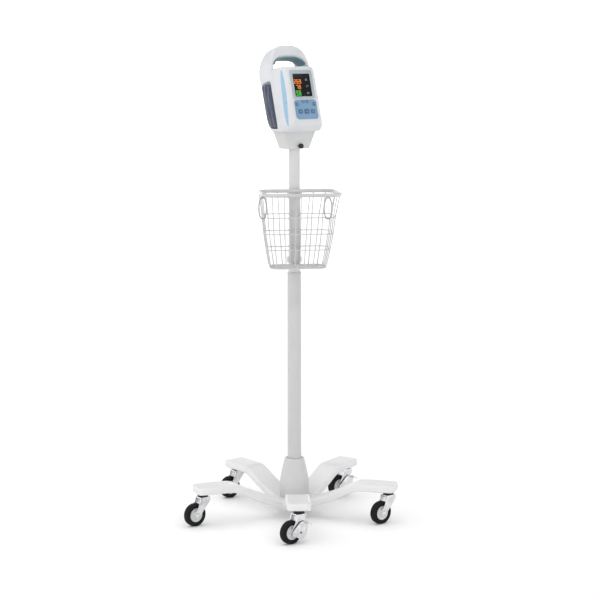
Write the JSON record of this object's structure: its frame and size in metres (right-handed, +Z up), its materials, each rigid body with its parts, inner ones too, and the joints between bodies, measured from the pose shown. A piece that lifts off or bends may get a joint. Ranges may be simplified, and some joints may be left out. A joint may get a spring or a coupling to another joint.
{
  "type": "patient monitor on roll stand",
  "caption": "Portable vital-signs monitor with a carry handle and cuff pocket, leaning back on a swivelling cradle on a wheeled stand with a wire basket.",
  "frame": {"origin": "on the floor, at the centre of the footprint's bounding box; the column stands 12 mm to +X and 29 mm to +Y of it", "axes": "+Z up along the column; -Y towards the front leg and the basket; +X to the right of somebody facing the front"},
  "size_m": [0.5893, 0.5579, 1.3015],
  "materials": {
    "base_paint": "satin powder coat",
    "boot_plastic": "fine moulded texture",
    "column_paint": "satin powder coat",
    "column_bush": "moulded",
    "wire_coat": "white dipped coat",
    "chrome_wire": "bright",
    "caster_black": "moulded",
    "chrome": "bright, lightly scuffed",
    "wheel_core": "moulded, semi-gloss",
    "tyre_black": "worn smooth tread",
    "bracket_grey": "fine moulded texture",
    "knob_black": "moulded",
    "shell_white": "fine spark texture",
    "trim_blue": "satin translucent blue",
    "grip_teal": "soft-touch",
    "display_bezel": "semi-gloss",
    "screen_black": "polished",
    "keypad_blue": "satin membrane",
    "button_blue": "satin membrane",
    "cuff_fabric": "woven nylon",
    "board_green": "solder mask",
    "inner_dark": "plain"
  },
  "bodies": {
    "stand": {"base_casting": "base_paint", "caster_1_stem": "caster_black", "caster_2_stem": "caster_black", "caster_3_stem": "caster_black", "caster_4_stem": "caster_black", "caster_5_stem": "caster_black", "column_boot": "boot_plastic", "column_lower_tube": "column_paint", "column_sleeve": "column_bush", "column_upper_tube": "column_paint", "basket_rim": "wire_coat", "basket_wires": "wire_coat", "basket_bracket": "column_paint", "hose_hook_left": "chrome_wire", "hose_hook_right": "chrome_wire"},
    "monitor": {"head_bracket": "bracket_grey", "rear_housing": "shell_white", "front_housing": "shell_white", "side_trim_left": "trim_blue", "side_trim_right": "trim_blue", "handle_grip": "grip_teal", "display_frame": "display_bezel", "lcd_panel": "screen_black", "keypad_panel": "keypad_blue", "main_board": "board_green", "pump": "inner_dark", "battery": "inner_dark", "battery_door": "shell_white", "hose_port": "display_bezel"},
    "thumbscrew": {"bracket_thumbscrew": "knob_black"},
    "cuff": {"cuff": "cuff_fabric"},
    "caster_1": {"caster_1_fork": "chrome", "caster_1_axle": "chrome"},
    "wheel_1": {"caster_1_wheel_hub": "wheel_core", "caster_1_tyre": "tyre_black"},
    "brake_1": {"caster_1_brake_lever": "chrome"},
    "caster_2": {"caster_2_fork": "chrome", "caster_2_axle": "chrome"},
    "wheel_2": {"caster_2_wheel_hub": "wheel_core", "caster_2_tyre": "tyre_black"},
    "caster_3": {"caster_3_fork": "chrome", "caster_3_axle": "chrome"},
    "wheel_3": {"caster_3_wheel_hub": "wheel_core", "caster_3_tyre": "tyre_black"},
    "brake_3": {"caster_3_brake_lever": "chrome"},
    "caster_4": {"caster_4_fork": "chrome", "caster_4_axle": "chrome"},
    "wheel_4": {"caster_4_wheel_hub": "wheel_core", "caster_4_tyre": "tyre_black"},
    "caster_5": {"caster_5_fork": "chrome", "caster_5_axle": "chrome"},
    "wheel_5": {"caster_5_wheel_hub": "wheel_core", "caster_5_tyre": "tyre_black"},
    "button_up": {"button_up": "button_blue"},
    "button_down": {"button_down": "button_blue"},
    "button_power": {"button_power": "button_blue"},
    "button_alarm_silence": {"button_alarm_silence": "button_blue"},
    "button_mode": {"button_mode": "button_blue"},
    "button_start": {"button_start": "button_blue"},
    "button_memory": {"button_memory": "button_blue"}
  },
  "joints": [
    {"name": "monitor_swivel", "type": "hinge", "parent": "stand", "child": "monitor", "pos_m": [0.012, 0.029, 1.04], "axis": [0, 0, 1], "range_deg": [-170, 170]},
    {"name": "thumbscrew_turn", "type": "hinge", "parent": "monitor", "child": "thumbscrew", "pos_m": [0.02812, 0.0037, 1.032], "axis": [0.5373, -0.8434, 0], "continuous": true},
    {"name": "cuff_pull", "type": "slide", "parent": "monitor", "child": "cuff", "axis": [-0.8434, -0.5373, 0], "range_m": [0, 0.06]},
    {"name": "caster_1_swivel", "type": "hinge", "parent": "stand", "child": "caster_1", "pos_m": [0.012, -0.239, 0.084], "axis": [0, 0, 1], "continuous": true},
    {"name": "wheel_1_spin", "type": "hinge", "parent": "caster_1", "child": "wheel_1", "pos_m": [-0.01012, -0.25449, 0.0315], "axis": [0.5736, -0.8192, 0], "continuous": true},
    {"name": "brake_1_press", "type": "hinge", "parent": "caster_1", "child": "brake_1", "pos_m": [-0.01012, -0.25449, 0.0315], "axis": [-0.5736, 0.8192, 0], "range_deg": [0, 12]},
    {"name": "caster_2_swivel", "type": "hinge", "parent": "stand", "child": "caster_2", "pos_m": [0.26688, -0.05382, 0.084], "axis": [0, 0, 1], "continuous": true},
    {"name": "wheel_2_spin", "type": "hinge", "parent": "caster_2", "child": "wheel_2", "pos_m": [0.24477, -0.0693, 0.0315], "axis": [0.5736, -0.8192, 0], "continuous": true},
    {"name": "caster_3_swivel", "type": "hinge", "parent": "stand", "child": "caster_3", "pos_m": [0.16953, 0.24582, 0.084], "axis": [0, 0, 1], "continuous": true},
    {"name": "wheel_3_spin", "type": "hinge", "parent": "caster_3", "child": "wheel_3", "pos_m": [0.14741, 0.23033, 0.0315], "axis": [0.5736, -0.8192, 0], "continuous": true},
    {"name": "brake_3_press", "type": "hinge", "parent": "caster_3", "child": "brake_3", "pos_m": [0.14741, 0.23033, 0.0315], "axis": [-0.5736, 0.8192, 0], "range_deg": [0, 12]},
    {"name": "caster_4_swivel", "type": "hinge", "parent": "stand", "child": "caster_4", "pos_m": [-0.14553, 0.24582, 0.084], "axis": [0, 0, 1], "continuous": true},
    {"name": "wheel_4_spin", "type": "hinge", "parent": "caster_4", "child": "wheel_4", "pos_m": [-0.16764, 0.23033, 0.0315], "axis": [0.5736, -0.8192, 0], "continuous": true},
    {"name": "caster_5_swivel", "type": "hinge", "parent": "stand", "child": "caster_5", "pos_m": [-0.24288, -0.05382, 0.084], "axis": [0, 0, 1], "continuous": true},
    {"name": "wheel_5_spin", "type": "hinge", "parent": "caster_5", "child": "wheel_5", "pos_m": [-0.265, -0.0693, 0.0315], "axis": [0.5736, -0.8192, 0], "continuous": true},
    {"name": "button_up_press", "type": "slide", "parent": "monitor", "child": "button_up", "axis": [-0.5165, 0.8107, -0.2756], "range_m": [0, 0.001], "stiffness_N_per_m": 300, "springref_m": -0.0005},
    {"name": "button_down_press", "type": "slide", "parent": "monitor", "child": "button_down", "axis": [-0.5165, 0.8107, -0.2756], "range_m": [0, 0.001], "stiffness_N_per_m": 300, "springref_m": -0.0005},
    {"name": "button_power_press", "type": "slide", "parent": "monitor", "child": "button_power", "axis": [-0.5165, 0.8107, -0.2756], "range_m": [0, 0.001], "stiffness_N_per_m": 300, "springref_m": -0.0005},
    {"name": "button_alarm_silence_press", "type": "slide", "parent": "monitor", "child": "button_alarm_silence", "axis": [-0.5165, 0.8107, -0.2756], "range_m": [0, 0.001], "stiffness_N_per_m": 300, "springref_m": -0.0005},
    {"name": "button_mode_press", "type": "slide", "parent": "monitor", "child": "button_mode", "axis": [-0.5165, 0.8107, -0.2756], "range_m": [0, 0.001], "stiffness_N_per_m": 300, "springref_m": -0.0005},
    {"name": "button_start_press", "type": "slide", "parent": "monitor", "child": "button_start", "axis": [-0.5165, 0.8107, -0.2756], "range_m": [0, 0.001], "stiffness_N_per_m": 300, "springref_m": -0.0005},
    {"name": "button_memory_press", "type": "slide", "parent": "monitor", "child": "button_memory", "axis": [-0.5165, 0.8107, -0.2756], "range_m": [0, 0.001], "stiffness_N_per_m": 300, "springref_m": -0.0005}
  ]
}
